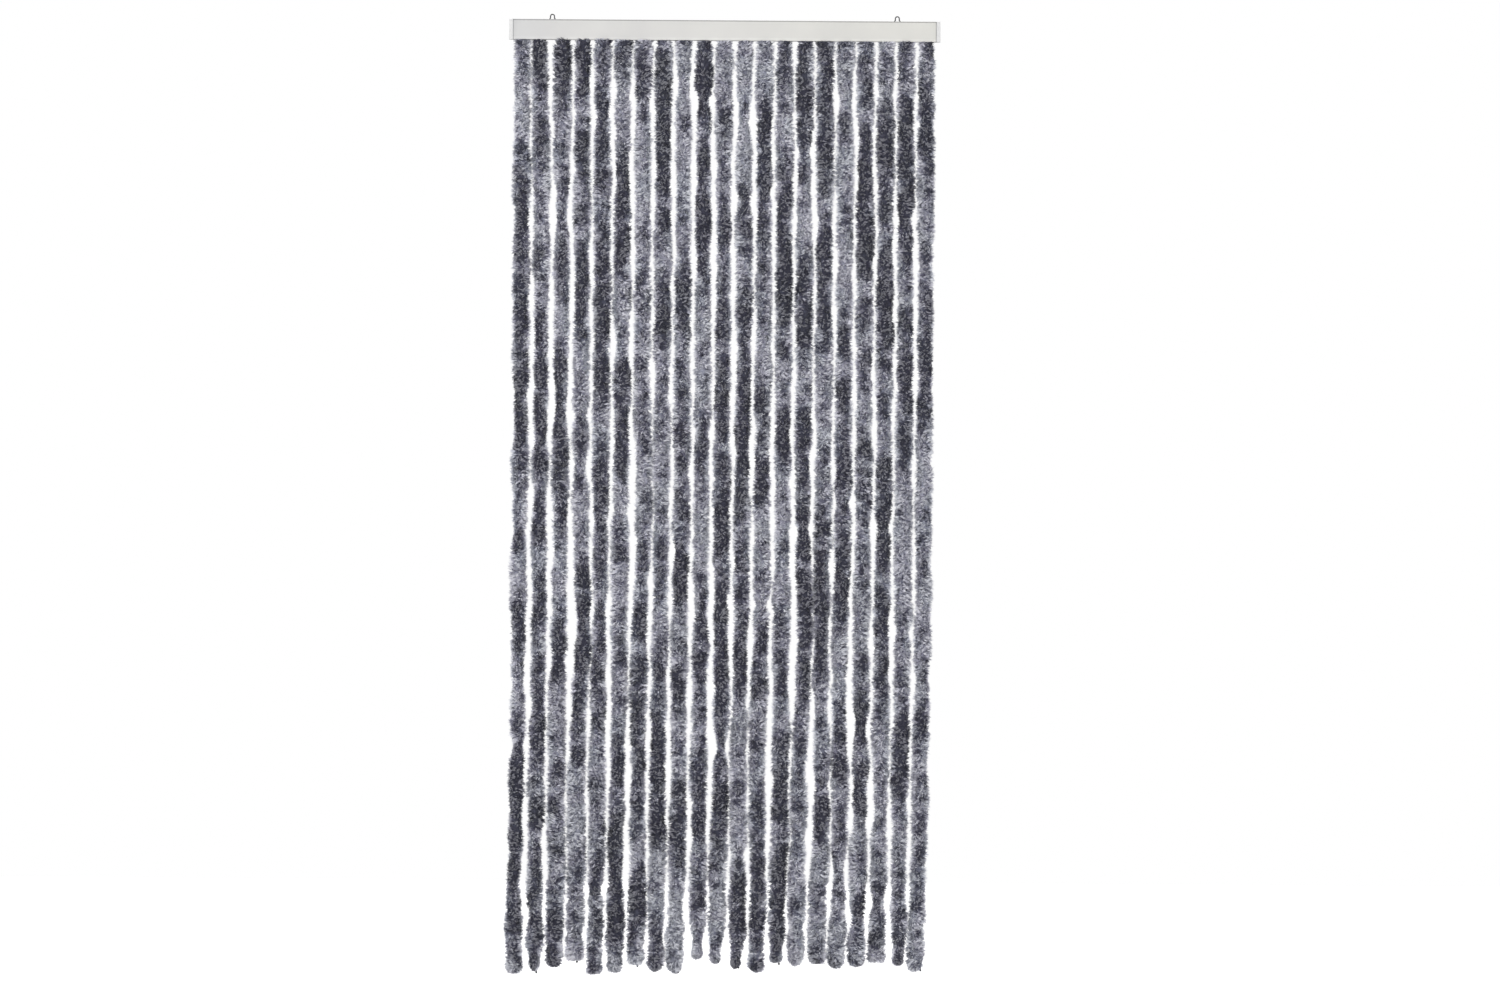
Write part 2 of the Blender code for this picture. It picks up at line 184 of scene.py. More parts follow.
# How the tufts of one lock differ, each as a spread, a chance, a share or the limits of a share
TUFT = SimpleNamespace(
    angle=0.060, depth=0.0009, heading=0.16, strength=0.15, twist=0.45, tone=0.06, widths=(0.7, 1.3),
    length=0.10, long_chance=0.03, long_share=1.25,
)
FIRST_DEPTH = 0.0006  # how close to the rail the backing and the first roots are
LAST_ROOT = 0.0002  # how close to the tip a root may be
TUFT_TONES = (0.06, 0.94)

# How a tuft's shape follows from its place: its sweep is stronger where the pile is combed, and it is
# longer where the pile is pale or thick
SWEEP_STRENGTH = 0.70
COMB_STRENGTH = 0.40
STEEPEST_TILT = 1.45
SWEPT_FLAT = 0.35  # how far the sweep turns a tuft's flat side
LONGER_WHEN_PALE = 0.12
EVEN_LENGTH_TONE = 0.4
GIRTH_LENGTHS = (0.5, 1.15)

# The slope of the pile's outside, which the tufts stand square to: the step it is taken over, and its
# limits on the rounded end and above it
SLOPE_STEP = 0.0006
END_SLOPES = (-5, 0)
SIDE_SLOPES = (-0.4, 0.4)

# The tufts next to the rail lean up, and reach a little past its underside in front of it and behind it. On
# a few strands they rise further, and lean up more.
TOP_REACH = 0.012
TOP_SLOPE = 0.30
TOP_SLOPE_PER_RISE = 220
TOP_RISE = 0.0005
HIGH_TOPS = {3: 0.0045, 4: 0.0030, 5: 0.0030, 20: 0.0015}

# The view: in front of the curtain, and rolled a little
CAMERA_PLACE = (0.0594, -13.0, -1.0099)
CAMERA_ROLL = math.radians(-0.4)
VIEW_WIDTH = 3.132  # of what the picture takes in at the curtain
VIEW_REACH = 60
SENSOR_WIDTH = 36  # in millimetres

# The floor, and from which distance from its middle to which its glow grows, and between which levels
FLOOR_LEVEL = -2.30
FLOOR_SIZE = 16
GLOW_SPAN = (0.7, 1.6)
GLOW_LEVELS = (0.25, 0.75)

# The light: the world's level, and each lamp's name, place, size and power
WORLD_LEVEL = 0.50
LAMP_TARGET = (0, 0, -1.0)
LAMPS = (
    ("key_light", (-2.6, -4.2, 1.2), 3.0, 120),
    ("fill_light", (3.2, -4.0, -0.4), 3.0, 45),
    ("back_light", (0.5, 4.5, 0.8), 3.0, 50),
)

RIGHT, BACK, UP = np.eye(3)
TINY = 1e-9

# Colours, in steps of 1/255

WHITE = (255, 255, 255)

# The rail's coat from left to right; its painted light and shade from the underside to the top, with a
# painted highlight along the rounded underside and a painted shade line on the rebate along its top; and the
# painted shade in the seam near each end, which lies within a short reach of it
RAIL_COAT = ((0.0, (215, 215, 215)), (0.1, (223, 222, 220)), (1.0, (232, 231, 225)))
RAIL_PAINTED_LIGHT_AND_SHADE = (
    (0.0, WHITE),
    (0.11, (254, 254, 254)),
    (0.16, (247, 247, 247)),
    (0.935, (246, 246, 246)),
    (0.950, (190, 190, 191)),
    (1.0, (196, 196, 197)),
)
SEAM_REACH = 0.010
# Painted shade of the gap between the rail and each cap, over the last few millimetres of the rail
SEAM_PAINTED_SHADE = ((0.0, WHITE), (0.84, (250, 250, 250)), (0.90, (205, 205, 207)), (1.0, (186, 186, 188)))

# The three families of grey in the pile, each from its darkest fibre to its lightest
GREYS = (
    ((85, 86, 102), (116, 118, 135), (164, 167, 184), (236, 239, 252), (249, 252, 255)),
    ((85, 85, 102), (117, 116, 134), (165, 164, 183), (238, 237, 252), (250, 250, 255)),
    ((85, 86, 100), (116, 118, 131), (165, 167, 181), (237, 239, 249), (249, 251, 255)),
)
GREY_STOPS = (0.02, 0.27, 0.52, 0.80, 0.98)
GREY_LIMITS = (0.005, 0.995)  # keep a tone off the borders of its family

# A fibre's painted shade, darkest at its root where the pile shades it, up to its tip, and the near white of
# painted light into which tips fade far out on the map
FIBRE_PAINTED_ROOT_SHADE = ((0.0, (188, 188, 193)), (0.35, (224, 224, 228)), (0.75, (252, 252, 253)), (1.0, WHITE))
TIP_PAINTED_LIGHT = (250, 250, 255)
TIP_SPAN = (0.55, 1.0)
TIP_SHARE = 0.62
FIBRE_STRIPES = 90  # across the whole map, so that each tuft shows two or three fibres

# Materials

NOISE_SPAN = (0.3, 0.7)  # where nearly all values of a noise pattern lie
FULL = (0.0, 1.0)
WAVE_PACE = 20  # radians in one unit of a wave pattern at a scale of 1
MIX_SOCKETS = (0, 6, 7)  # of a Mix node: its share and its two colours
MIX_COLOUR = 2


def srgb(red, green, blue):
    """A colour given in steps of 1/255, as the shader wants it."""
    shares = (step / 255 for step in (red, green, blue))
    linear = [s / 12.92 if s <= 0.04045 else ((s + 0.055) / 1.055) ** 2.4 for s in shares]
    return (*linear, 1.0)


def new_finish(name, roughness):
    """A material and its shader, with the tools to add nodes to it."""
    material = bpy.data.materials.new(name)
    material.use_nodes = True
    nodes, links = material.node_tree.nodes, material.node_tree.links
    shader = nodes["Principled BSDF"]
    shader.inputs["Roughness"].default_value = roughness
    return SimpleNamespace(material=material, nodes=nodes, links=links, shader=shader)


def feed(finish, socket, value):
    """Gives a socket a plain value, or what another socket sends."""
    if isinstance(value, bpy.types.NodeSocket):
        finish.links.new(value, socket)
    else:
        socket.default_value = value


def place_on(finish):
    """The place on the object, in metres."""
    return finish.nodes.new("ShaderNodeTexCoord").outputs["Object"]


def split(finish, vector):
    """A vector's X, Y and Z."""
    node = finish.nodes.new("ShaderNodeSeparateXYZ")
    feed(finish, node.inputs[0], vector)
    return node.outputs


def noise(finish, place, scale, detail=3.0):
    """A cloudy pattern, with nearly all its values in NOISE_SPAN."""
    node = finish.nodes.new("ShaderNodeTexNoise")
    for name, value in (("Scale", scale), ("Detail", detail), ("Vector", place)):
        feed(finish, node.inputs[name], value)
    return node.outputs["Fac"]


def ramp(finish, share, stops):
    """A colour that passes through the stops, each a place and a colour, as the share grows."""
    node = finish.nodes.new("ShaderNodeValToRGB")
    marks = node.color_ramp.elements
    while len(marks) < len(stops):
        marks.new(0.5)
    for mark, (place, colour) in zip(marks, stops):
        mark.position = place
        mark.color = srgb(*colour)
    feed(finish, node.inputs["Fac"], share)
    return node.outputs["Color"]


def between(finish, share, first, second, span=NOISE_SPAN):
    """A colour that goes from the first to the second as the share crosses the span."""
    return ramp(finish, share, tuple(zip(span, (first, second))))


def mapped(finish, value, span, levels):
    """A value that goes from one level to the other as the given value crosses the span."""
    node = finish.nodes.new("ShaderNodeMapRange")
    for name, number in zip(("From Min", "From Max", "To Min", "To Max"), (*span, *levels)):
        node.inputs[name].default_value = number
    feed(finish, node.inputs["Value"], value)
    return node.outputs["Result"]


def maths(finish, operation, *values, clamp=False):
    """What one operation makes of sockets and numbers."""
    node = finish.nodes.new("ShaderNodeMath")
    node.operation = operation
    node.use_clamp = clamp
    for socket, value in zip(node.inputs, values):
        feed(finish, socket, value)
    return node.outputs[0]


def mixed(finish, kind, share, first, second):
    """Two colours mixed in one of Blender's ways."""
    node = finish.nodes.new("ShaderNodeMix")
    node.data_type = "RGBA"
    node.blend_type = kind
    for socket, value in zip(MIX_SOCKETS, (share, first, second)):
        feed(finish, node.inputs[socket], value)
    return node.outputs[MIX_COLOUR]


def colour_of(finish, colour):
    feed(finish, finish.shader.inputs["Base Color"], colour)


def roughness_of(finish, pattern, smoothest, roughest):
    """Lets the roughness follow a pattern."""
    roughness = mapped(finish, pattern, NOISE_SPAN, (smoothest, roughest))
    feed(finish, finish.shader.inputs["Roughness"], roughness)


def bump(finish, height, distance, strength):
    """Lets the surface rise and fall with a pattern, by a small distance."""
    node = finish.nodes.new("ShaderNodeBump")
    for name, value in (("Distance", distance), ("Strength", strength), ("Height", height)):
        feed(finish, node.inputs[name], value)
    feed(finish, finish.shader.inputs["Normal"], node.outputs["Normal"])


def rail_coating():
    """Off-white coat on the rail, a little warmer to the right, with a painted highlight along its
    underside, a painted shade line on the rebate along its top, and painted shade in the seams at its ends.
    """
    finish = new_finish("rail_coating", roughness=0.42)
    place = place_on(finish)
    where = split(finish, place)
    to_right = mapped(finish, where["X"], (RAIL_LOW.x, RAIL_HIGH.x), FULL)
    upwards = mapped(finish, where["Z"], (RAIL_LOW.z, RAIL_HIGH.z), FULL)
    from_middle = maths(finish, "ABSOLUTE", where["X"])
    to_end = mapped(finish, from_middle, (RAIL_HIGH.x - SEAM_REACH, RAIL_HIGH.x), FULL)
    cloud = between(finish, noise(finish, place, scale=9.0), (246, 246, 247), WHITE)
    coat = ramp(finish, to_right, RAIL_COAT)
    # The cloud, then the painted light and shade up the rail, then the painted shade in the seams at its
    # ends
    for shade in (cloud, ramp(finish, upwards, RAIL_PAINTED_LIGHT_AND_SHADE), ramp(finish, to_end, SEAM_PAINTED_SHADE)):
        coat = mixed(finish, "MULTIPLY", 1.0, coat, shade)
    colour_of(finish, coat)
    grain = noise(finish, place, scale=1400.0, detail=2.0)
    roughness_of(finish, grain, 0.38, 0.48)
    bump(finish, grain, distance=0.00004, strength=0.35)
    return finish.material


def cap_plastic():
    """Moulded end caps, a shade lighter than the rail."""
    finish = new_finish("cap_plastic", roughness=0.5)
    place = place_on(finish)
    colour_of(finish, between(finish, noise(finish, place, scale=60.0), (221, 221, 221), (227, 227, 227)))
    grain = noise(finish, place, scale=2600.0, detail=2.0)
    roughness_of(finish, grain, 0.44, 0.56)
    bump(finish, grain, distance=0.00003, strength=0.4)
    return finish.material


def eye_wire():
    """Dull drawn steel wire with a few darker spots."""
    finish = new_finish("eye_wire", roughness=0.5)
    finish.shader.inputs["Metallic"].default_value = 0.1
    place = place_on(finish)
    spots = noise(finish, place, scale=700.0, detail=4.0)
    colour_of(finish, between(finish, spots, (22, 22, 24), (46, 46, 48), span=(0.35, 0.65)))
    roughness_of(finish, spots, 0.42, 0.58)
    bump(finish, noise(finish, place, scale=3000.0, detail=2.0), distance=0.00002, strength=0.4)
    return finish.material


def strip_plastic():
    """Grey moulded strip that carries the knots."""
    finish = new_finish("strip_plastic", roughness=0.55)
    place = place_on(finish)
    colour_of(finish, between(finish, noise(finish, place, scale=90.0), (150, 151, 153), (164, 165, 167)))
    grain = noise(finish, place, scale=1800.0, detail=2.0)
    roughness_of(finish, grain, 0.48, 0.62)
    bump(finish, grain, distance=0.00004, strength=0.4)
    return finish.material


def cord_fibre():
    """Dark twisted cord."""
    finish = new_finish("cord_fibre", roughness=0.85)
    place = place_on(finish)
    wave = finish.nodes.new("ShaderNodeTexWave")
    wave.bands_direction = "DIAGONAL"
    for name, value in (("Scale", 260.0), ("Distortion", 1.5), ("Vector", place)):
        feed(finish, wave.inputs[name], value)
    twist = wave.outputs["Fac"]
    colour_of(finish, between(finish, twist, (38, 38, 44), (74, 74, 82), span=(0.2, 0.8)))
    roughness_of(finish, noise(finish, place, scale=900.0), 0.75, 0.95)
    bump(finish, twist, distance=0.0003, strength=0.6)
    return finish.material


def chenille_fibre():
    """Soft pile: the map's U picks a fibre's grey, and V runs from its root to its tip, with painted shade
    at the roots and painted light on the tips.
    """
    finish = new_finish("chenille_fibre", roughness=0.8)
    for name, level in (("Specular IOR Level", 0.25), ("Sheen Weight", 0.25), ("Sheen Roughness", 0.45)):
        finish.shader.inputs[name].default_value = level
    fibre_map = finish.nodes.new("ShaderNodeUVMap")
    fibre_map.uv_map = "OFBake"
    on_map = fibre_map.outputs["UV"]
    where = split(finish, on_map)
    stripes = finish.nodes.new("ShaderNodeTexWave")
    stripes.wave_profile = "SIN"
    stripes.inputs["Scale"].default_value = FIBRE_STRIPES / WAVE_PACE * math.tau
    feed(finish, stripes.inputs["Vector"], on_map)
    stops = [
        ((family + stop) / len(GREYS), grey)
        for family, greys in enumerate(GREYS)
        for stop, grey in zip(GREY_STOPS, greys)
    ]
    grey = ramp(finish, where["X"], stops)
    # Painted shade that darkens the fibres towards their roots
    shade = ramp(finish, where["Y"], FIBRE_PAINTED_ROOT_SHADE)
    fine = between(finish, stripes.outputs["Fac"], (218, 218, 220), WHITE, span=(0.15, 0.85))
    for darker in (shade, fine):
        grey = mixed(finish, "MULTIPLY", 1.0, grey, darker)
    # Painted light that fades the tips towards near white
    to_tip = mapped(finish, where["Y"], TIP_SPAN, (0.0, TIP_SHARE))
    colour_of(finish, mixed(finish, "MIX", to_tip, grey, srgb(*TIP_PAINTED_LIGHT)))
    scales = noise(finish, on_map, scale=60.0, detail=2.0)
    roughness_of(finish, scales, 0.72, 0.9)
    bump(finish, scales, distance=0.00005, strength=0.2)
    return finish.material


# The plan of a strand


def eased(share):
    """A share from 0 to 1 that starts and ends slowly."""
    return share * share * (3 - 2 * share)


def bell(depth, at, reach):
    """A share that is 1 at one depth and fades away over the reach to both sides of it."""
    return np.exp(-(((depth - at) / reach) ** 2))


def waves(depth, sizes, phases):
    """The sum of a few waves down a strand, each of its own height and length."""
    return sum(
        height * np.sin(math.tau * depth / length + phase) for (height, length), phase in zip(sizes, phases)
    )


def patch_field(rng, length, cells_round, cell):
    """Smooth random values from -1 to 1 round and down a strand, as a function of angle and depth."""
    knots = rng.uniform(-1, 1, (int(length / cell) + 3, cells_round))

    def value(angle, depth):
        column = angle / math.tau % 1.0 * cells_round
        row = np.clip(depth, 0, length) / cell
        left, top = column.astype(int) % cells_round, row.astype(int)
        right = (left + 1) % cells_round
        across, down = eased(column % 1.0), eased(row % 1.0)
        upper = knots[top, left] * (1 - across) + knots[top, right] * across
        lower = knots[top + 1, left] * (1 - across) + knots[top + 1, right] * across
        return upper * (1 - down) + lower * down

    return value


def random_neck(rng, length):
    """How deep one neck is, how much thinner the strand is there and how far the neck reaches."""
    return rng.uniform(*NECK_PLACES) * length, rng.uniform(*NECK_SHARES), rng.uniform(*NECK_REACHES)


def plan_strand(number):
    """Where one strand hangs, how thick it is all the way down and how its greys lie."""
    rng = np.random.default_rng(FIRST_SEED + number)
    pile_low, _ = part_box(f"pile_{number:02d}")
    cord_low, cord_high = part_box(f"core_cord_{number:02d}")
    bare = number in BARE_NUBS
    length = UNDERSIDE - (pile_low.z - NUB_COVER if bare else cord_low.z - KNOT_COVER)
    strand = SimpleNamespace(number=number, rng=rng, length=length)
    strand.droop = NUB_DROOP if bare else KNOT_DROOP
    strand.x = (cord_low.x + cord_high.x) / 2
    strand.end = END_LENGTHS[number - 1]
    strand.phases = rng.uniform(0, math.tau, 5)
    strand.girth = [(share, patch_field(rng, length, 1, cell)) for share, cell in GIRTH_WAVES]
    strand.lumps = patch_field(rng, length, LUMPS.cells_round, LUMPS.cell)
    strand.necks = [random_neck(rng, length) for _ in range(rng.integers(*NECK_COUNTS))]
    if number in HIGH_NECKS:
        strand.necks.append(HIGH_NECKS[number])
    for one, height, share, reach in LOW_NECKS:
        if one == number:
            strand.necks.append((length - height, share, reach))
    strand.greys = [(weight, patch_field(rng, length, cells, cell)) for weight, cells, cell in TONE_PATCHES]
    strand.family = patch_field(rng, length, *FAMILY_CELLS)
    strand.comb_round = patch_field(rng, length, *COMB_ROUND_CELLS)
    strand.comb_up = patch_field(rng, length, *COMB_UP_CELLS)
    return strand


def centre_of(strand, depth):
    """The middle of the strand at each depth, as x and y."""
    share = depth / strand.length
    x = strand.x + LEAN * share + BOW * np.sin(math.pi * share)
    x = x + SETTLE * (1 - np.exp(-depth / SETTLE_DEPTH))
    x = x + share * waves(depth, SIDE_WAVES, strand.phases[:2])
    x = x + waves(depth, RIPPLE, strand.phases[2:3]) * np.minimum(1, depth / RIPPLE_DEPTH)
    for number, at, side in STRAYS:
        if number == strand.number:
            x = x + side * bell(depth, at, STRAY_REACH)
    y = share * waves(depth, DEPTH_WAVES, strand.phases[3:])
    return x, y


def girth_of(strand, depth):
    """The pile's radius at each depth, without the rounding at its end."""
    start, stop = FULL_END_SPAN
    into_full_end = np.clip((depth / strand.length - start) / (stop - start), 0, 1)
    fuller = FULL_TOP_SHARE * bell(depth, 0, FULL_TOP_REACH) + FULL_END_SHARE * into_full_end
    uneven = sum(share * field(np.zeros_like(depth), depth) for share, field in strand.girth)
    radius = PILE_RADIUS * (EVEN_SHARE + fuller + uneven)
    for at, share, reach in strand.necks:
        radius = radius * (1 - share * bell(depth, at, reach))
    return radius


def share_into_end(strand, depth):
    """How far into the rounding at its end the strand is: 0 above it and 1 at the tip."""
    return np.clip((depth - strand.length + strand.end) / strand.end, 0, 1)


def radius_of(strand, angle, depth):
    """The pile's outside at each angle and depth."""
    radius = girth_of(strand, depth) * (1 + LUMPS.share * strand.lumps(angle, depth))
    return radius * np.sqrt(np.maximum(1 - share_into_end(strand, depth) ** 2, 0.0))


def tone_of(strand, angle, depth):
    """How light the pile is, from 0 to 1: patches with soft borders, with painted light on the two flanks
    and the left, and painted shade at the front and back.
    """
    turned_angle = angle + TONE_TURN * depth
    value = sum(weight * field(turned_angle, depth) for weight, field in strand.greys)
    # Painted light on the flanks and on the left, painted shade at the front and back
    value = value + FLANK_PAINTED_LIGHT * (np.abs(np.cos(angle)) - FLANK_LIGHT_EVEN_COSINE) - LEFT_PAINTED_LIGHT * np.cos(angle)
    return np.clip(MIDDLE_TONE + TONE_CONTRAST * value, 0, 1) ** DARKER_MIDDLE


def family_of(strand, angle, depth):
    """Which family of grey the pile has, by its number in the table."""
    share = (strand.family(angle, depth) + 1) / 2
    return np.clip((share * len(GREYS)).astype(int), 0, len(GREYS) - 1)


def map_places(tone, family, along):
    """Places on the fibre map: U holds the family of grey and the tone in it, V how far out the fibre is."""
    return np.stack([(family + np.clip(tone, *GREY_LIMITS)) / len(GREYS), along], 1)


# The shapes of a strand


def turned(angle, first, second):
    """Directions at an angle from the first direction towards the second."""
    return np.cos(angle)[:, None] * first + np.sin(angle)[:, None] * second


def unit(vectors):
    """The same directions with a length of 1."""
    return vectors / np.maximum(np.linalg.norm(vectors, axis=1), TINY)[:, None]


def surface_points(strand, angle, depth, radius):
    """Points round the strand's middle, each at its own radius."""
    x, y = centre_of(strand, depth)
    axis = np.stack([x, y, UNDERSIDE - depth], 1)
    return axis + turned(angle, RIGHT, BACK) * radius[:, None]


def backing(strand):
    """The closed backing that the tufts stand on, dark with painted shade: points, triangles and places on
    the fibre map.
    """
    rng, sides = strand.rng, BACKING.sides
    rings = round((strand.length - BACKING.trim) / BACKING.step)
    depth = np.linspace(FIRST_DEPTH, strand.length - END_ROOT, rings + 1)
    turn = math.tau / sides
    around, down = (values.ravel() for values in np.meshgrid(np.arange(sides) * turn, depth))
    around = around + 0.5 * turn * down / BACKING.step  # each ring is half a side on from the last
    radius = BACKING.share * radius_of(strand, around, down) * rng.uniform(*BACKING.uneven, len(down))
    points = surface_points(strand, around, down, np.maximum(radius, BACKING.least))
    ends = surface_points(strand, np.zeros(2), depth[[0, -1]] + [0, BACKING.point], np.zeros(2))
    points = np.concatenate([points, ends])

    step = np.arange(sides)
    after = (step + 1) % sides
    ring = np.arange(rings)[:, None] * sides
    a, b, c, d = ring + step, ring + after, ring + sides + after, ring + sides + step
    walls = np.stack([a, d, c, a, c, b], -1).reshape(-1, 3)
    last, top, tip = rings * sides, len(points) - 2, len(points) - 1
    upper = np.stack([np.full_like(step, top), step, after], 1)
    lower = np.stack([np.full_like(step, tip), last + after, last + step], 1)

    tone = np.append(tone_of(strand, around, down), [BACKING.end_tone] * 2)
    # Painted shade: the pile's tone made mostly darker, with speckles, at places near the roots on the fibre
    # map
    tone = BACKING.darkest + BACKING.tone_share * tone + BACKING.speckle * rng.random(len(tone))
    along = BACKING.along + BACKING.along_spread * rng.random(len(tone))
    return points, np.concatenate([walls, upper, lower]), map_places(tone, np.zeros(len(tone), int), along)


def grow_locks(strand, coat):
    """Where each lock of tufts starts, its tone, which way it is combed and how strongly."""
    rng = strand.rng
    end_start = strand.length - strand.end
    depth = rng.uniform(FIRST_LOCK, end_start, int(coat.locks * end_start))
    turn = rng.uniform(0, END_TURN, coat.end_locks)
    depth = np.append(depth, strand.length - strand.end * (1 - np.sin(turn)))
    count = len(depth)
    angle = rng.uniform(0, math.tau, count)
    tone = tone_of(strand, angle, depth)

    chance = rng.random(count)
    pale, dark = chance < PALE_FLECKS.chance * tone, chance > 1 - DARK_FLECKS.chance * tone
    mottle = rng.normal(0, MOTTLE, count)
    mottle = mottle + MOTTLE_WITH_TONE * np.clip(tone, *MOTTLE_TONES) * rng.normal(0, 1, count)
    mottle = mottle + np.where(pale, PALE_FLECKS.change, np.where(dark, DARK_FLECKS.change, 0))

    sideways = np.tanh(COMB_ROUND * strand.comb_round(angle, depth))
    upwards = COMB_UP * strand.comb_up(angle, depth)
    heading = np.arctan2(upwards, sideways) + rng.normal(0, COMBED_SPREAD, count)
    if not coat.combed:
        heading = rng.choice([0, math.pi], count) + rng.normal(0, LOOSE_SPREAD, count)
    return SimpleNamespace(
        angle=angle,
        depth=depth,
        tone=tone + coat.lighter + mottle,
        heading=heading,
        comb=np.hypot(sideways, upwards),
    )


def standing_ways(strand, angle, depth, out):
    """Which way tufts stand: square to the pile's slope, and leaning up next to the rail."""
    below, above = (radius_of(strand, angle, depth + step) for step in (SLOPE_STEP, -SLOPE_STEP))
    slope = (below - above) / (2 * SLOPE_STEP)
    in_end = share_into_end(strand, depth) > 0
    slope = np.where(in_end, np.clip(slope, *END_SLOPES), np.clip(slope, *SIDE_SLOPES))
    top_slope = TOP_SLOPE + TOP_SLOPE_PER_RISE * HIGH_TOPS.get(strand.number, 0)
    slope = slope + np.where(depth < TOP_REACH, top_slope, 0.0)
    return unit(out + slope[:, None] * UP)


def tuft_lengths(rng, coat, tone, radius):
    """How long each tuft is: longer when it is pale or its strand is thick there, and a few at random."""
    long = coat.length * rng.normal(1.0, TUFT.length, len(tone))
    long = long * (1 + LONGER_WHEN_PALE * (tone - EVEN_LENGTH_TONE))
    long = np.where(rng.random(len(tone)) < TUFT.long_chance, long * TUFT.long_share, long)
    return long * np.clip(radius / PILE_RADIUS, *GIRTH_LENGTHS)


def tuft_sides(rng, coat, first, outwards, sweep, out):
    """Half of each tuft's width, to the side that turns its face outwards."""
    flat = unit(np.cross(first, outwards + SWEPT_FLAT * sweep))
    side = turned(rng.normal(0, TUFT.twist, len(first)), flat, np.cross(first, flat))
    faces_in = (np.cross(side, first) * out).sum(1) < 0
    side = np.where(faces_in[:, None], -side, side)
    return side * (coat.width * rng.uniform(*TUFT.widths, len(first)) / 2)[:, None]


def tuft_corners(coat, root, middle, tip, side, tone):
    """The tufts' corners, the faces between them, and each corner's tone and place along the map."""
    to_side = (tone + coat.spread, tone - coat.spread)
    # The tips of light tufts lie further out on the map, in its painted light
    at_root, at_tip = coat.along[0], coat.along[-1] + coat.painted_light_at_tips * tone
    if coat.bent:
        at_bend = coat.along[1]
        corners, faces = (root, middle + side, middle - side, tip), ((0, 1, 2), (2, 1, 3))
        tones, along = (tone, *to_side, tone), (at_root, at_bend, at_bend, at_tip)
    else:
        corners, faces = (root - side, root + side, tip), ((0, 1, 2),)
        tones, along = (*to_side, tone), (at_root, at_root, at_tip)
    along = [np.broadcast_to(place, len(tone)) for place in along]
    return np.stack(corners, 1), np.array(faces), np.stack(tones, 1), np.stack(along, 1)


def tufts(strand, coat):
    """One coat's tufts: plain spikes, or narrow kites bent at their middle."""
    rng = strand.rng
    locks = vars(grow_locks(strand, coat))
    lock = SimpleNamespace(**{name: np.repeat(values, coat.tufts) for name, values in locks.items()})
    count = len(lock.angle)
    angle = lock.angle + rng.normal(0, TUFT.angle, count)
    depth = lock.depth + rng.normal(0, TUFT.depth, count)
    depth = np.clip(depth, FIRST_DEPTH, strand.length - LAST_ROOT)
    radius = radius_of(strand, angle, depth)

    out, round_it = turned(angle, RIGHT, BACK), turned(angle, BACK, -RIGHT)
    outwards = standing_ways(strand, angle, depth, out)
    sweep = turned(lock.heading + rng.normal(0, TUFT.heading, count), round_it, UP)
    strength = SWEEP_STRENGTH + COMB_STRENGTH * lock.comb + rng.normal(0, TUFT.strength, count)
    tilts = (np.clip(tilt * strength, 0, STEEPEST_TILT) for tilt in coat.tilts)
    first, last = (turned(tilt, outwards, sweep) for tilt in tilts)
    half = tuft_lengths(rng, coat, lock.tone, radius)[:, None] / 2
    root_depth = depth - END_ROOT * share_into_end(strand, depth) ** 2
    root = surface_points(strand, angle, root_depth, ROOT_SHARE * radius)
    middle = root + first * half
    tip = middle + last * half

    side = tuft_sides(rng, coat, first, outwards, sweep, out)
    tone = np.clip(lock.tone + rng.normal(0, TUFT.tone, count), *TUFT_TONES)
    corners, faces, tones, along = tuft_corners(coat, root, middle, tip, side, tone)
    each = corners.shape[1]
    points = clear_of_rail(strand, within_reach(strand, corners.reshape(-1, 3)))
    triangles = (each * np.arange(count)[:, None, None] + faces).reshape(-1, 3)
    family = np.repeat(family_of(strand, angle, depth), each)
    return points, triangles, map_places(tones.ravel(), family, along.ravel())


def within_reach(strand, points):
    """Draws in any fibre that strays too far from the strand's middle or past its end."""
    depth = np.clip(UNDERSIDE - points[:, 2], 0, strand.length)
    centre = np.stack(centre_of(strand, depth), 1)
    away = points[:, :2] - centre
    far = np.linalg.norm(away, axis=1)
    away *= np.minimum(1, FURTHEST_FIBRE / np.maximum(far, TINY))[:, None]
    points[:, :2] = centre + away
    points[:, 2] = np.maximum(points[:, 2], UNDERSIDE - strand.length - strand.droop)
    return points


def clear_of_rail(strand, points):
    """Keeps fibres under the rail, except where they stand in front of or behind it."""
    rise = HIGH_TOPS.get(strand.number, TOP_RISE)
    beside = np.abs(points[:, 1]) > RAIL_HALF_DEPTH + RAIL_GAP
    ceiling = np.where(beside, UNDERSIDE + rise, UNDERSIDE - RAIL_GAP)
    points[:, 2] = np.minimum(points[:, 2], ceiling)
    return points


def mesh_of(name, points, triangles, places, material):
    """A new piece from its points, triangles and places on the fibre map."""
    mesh = bpy.data.meshes.new(name)
    mesh.vertices.add(len(points))
    mesh.vertices.foreach_set("co", points.astype(np.float32).ravel())
    mesh.loops.add(triangles.size)
    mesh.loops.foreach_set("vertex_index", triangles.astype(np.int32).ravel())
    mesh.polygons.add(len(triangles))
    mesh.polygons.foreach_set("loop_start", np.arange(0, triangles.size, 3, dtype=np.int32))
    mesh.update(calc_edges=True)
    fibre_map = mesh.uv_layers.new(name="OFBake")
    fibre_map.data.foreach_set("uv", places[triangles.ravel()].astype(np.float32).ravel())
    mesh.shade_smooth()
    mesh.materials.append(material)
    piece = bpy.data.objects.new(name, mesh)
    bpy.context.scene.collection.objects.link(piece)
    return piece


